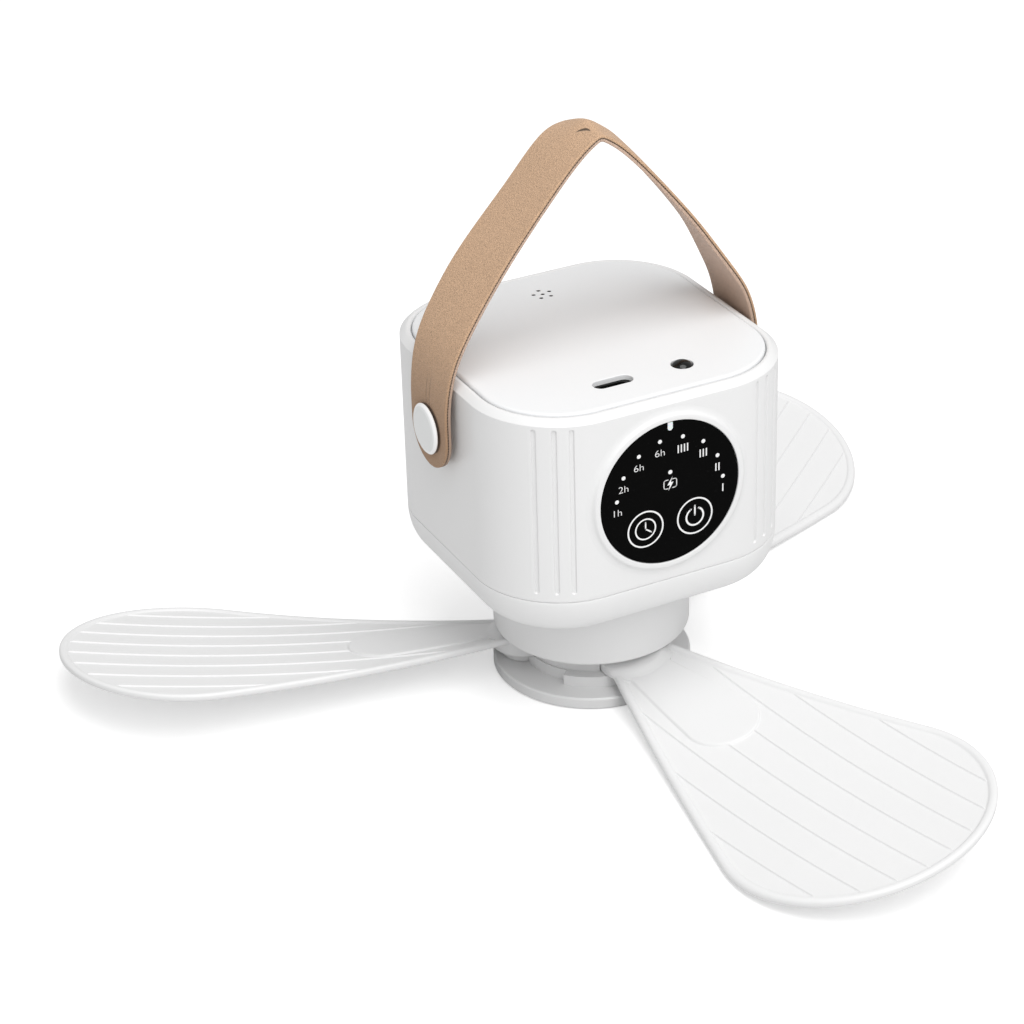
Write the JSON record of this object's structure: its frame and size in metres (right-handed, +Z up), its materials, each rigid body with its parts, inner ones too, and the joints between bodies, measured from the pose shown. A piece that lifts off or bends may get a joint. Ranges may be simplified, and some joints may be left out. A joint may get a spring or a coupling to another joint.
{
  "type": "hanging camping fan",
  "caption": "Battery fan with a rounded-square body, touch dial, leather hanging strap and a rotor of long folding blades under a short neck.",
  "frame": {"origin": "on the rotor axis at the underside of the blade disc", "axes": "+Z up along the rotor axis, -Y towards the dial, +-X through the strap rivets"},
  "size_m": [0.3027, 0.2876, 0.1847],
  "materials": {
    "white_satin": "satin white moulded ABS",
    "white_cover": "fine satin white",
    "white_blade": "soft satin white",
    "black_panel": "gloss black with white print",
    "clear_white": "milky light insert",
    "board_green": "solder mask",
    "led_yellow": "small lamp lenses",
    "socket_black": "black insulator",
    "black_gloss": "gloss black dome",
    "buzzer_black": "matt black case",
    "cell_wrap": "shrink wrap",
    "tray_grey": "moulded tray",
    "nickel": "nickel strip",
    "mount_metal": "machined",
    "core_iron": "stacked laminations",
    "copper_wire": "enamelled copper",
    "bearing_steel": "ground",
    "screw_steel": "zinc plated",
    "rivet_white": "white enamel cap",
    "spacer_white": "moulded",
    "tan_leather": "fine pebbled tan",
    "lining_leather": "smooth pinkish tan",
    "can_steel": "drawn steel",
    "magnet_dark": "coated magnet"
  },
  "bodies": {
    "housing": {"main_housing": "white_satin", "top_cover": "white_cover", "lower_housing": "white_satin", "control_panel": "black_panel", "status_light_pipe": "clear_white", "touch_board": "board_green", "indicator_leds": "led_yellow", "main_board": "board_green", "usb_c_socket": "socket_black", "ir_receiver": "black_gloss", "buzzer": "buzzer_black", "battery_cells": "cell_wrap", "battery_cradle": "tray_grey", "cell_tabs": "nickel", "motor_mount": "mount_metal", "stator_core": "core_iron", "stator_windings": "copper_wire", "upper_bearing": "bearing_steel", "lower_bearing": "bearing_steel", "housing_screws": "screw_steel", "motor_screws": "screw_steel", "board_screws": "screw_steel", "rivet_left": "rivet_white", "rivet_right": "rivet_white", "rivet_washers": "screw_steel", "rivet_spacers": "spacer_white"},
    "rotor": {"rotor_can": "can_steel", "rotor_magnets": "magnet_dark", "motor_shaft": "bearing_steel", "retaining_clip": "screw_steel", "hub_core": "white_blade", "blade_disc": "white_blade", "pivot_pins": "screw_steel", "friction_washers": "screw_steel", "hub_screws": "screw_steel"},
    "blade_1": {"blade_1": "white_blade"},
    "blade_2": {"blade_2": "white_blade"},
    "blade_3": {"blade_3": "white_blade"},
    "strap": {"strap_outer": "tan_leather", "strap_lining": "lining_leather"}
  },
  "joints": [
    {"name": "rotor_spin", "type": "hinge", "parent": "housing", "child": "rotor", "pos_m": [0, 0, 0.02], "axis": [0, 0, 1], "continuous": true},
    {"name": "blade_1_fold", "type": "hinge", "parent": "rotor", "child": "blade_1", "pos_m": [0.00285, -0.02181, 0.006], "axis": [0, 0, 1], "range_deg": [0, 90]},
    {"name": "blade_2_fold", "type": "hinge", "parent": "rotor", "child": "blade_2", "pos_m": [0.01747, 0.01338, 0.006], "axis": [0, 0, 1], "range_deg": [0, 90]},
    {"name": "blade_3_fold", "type": "hinge", "parent": "rotor", "child": "blade_3", "pos_m": [-0.02032, 0.00844, 0.006], "axis": [0, 0, 1], "range_deg": [0, 90]},
    {"name": "strap_swing", "type": "hinge", "parent": "housing", "child": "strap", "pos_m": [0, 0, 0.097], "axis": [1, 0, 0], "range_deg": [-12, 12]}
  ]
}
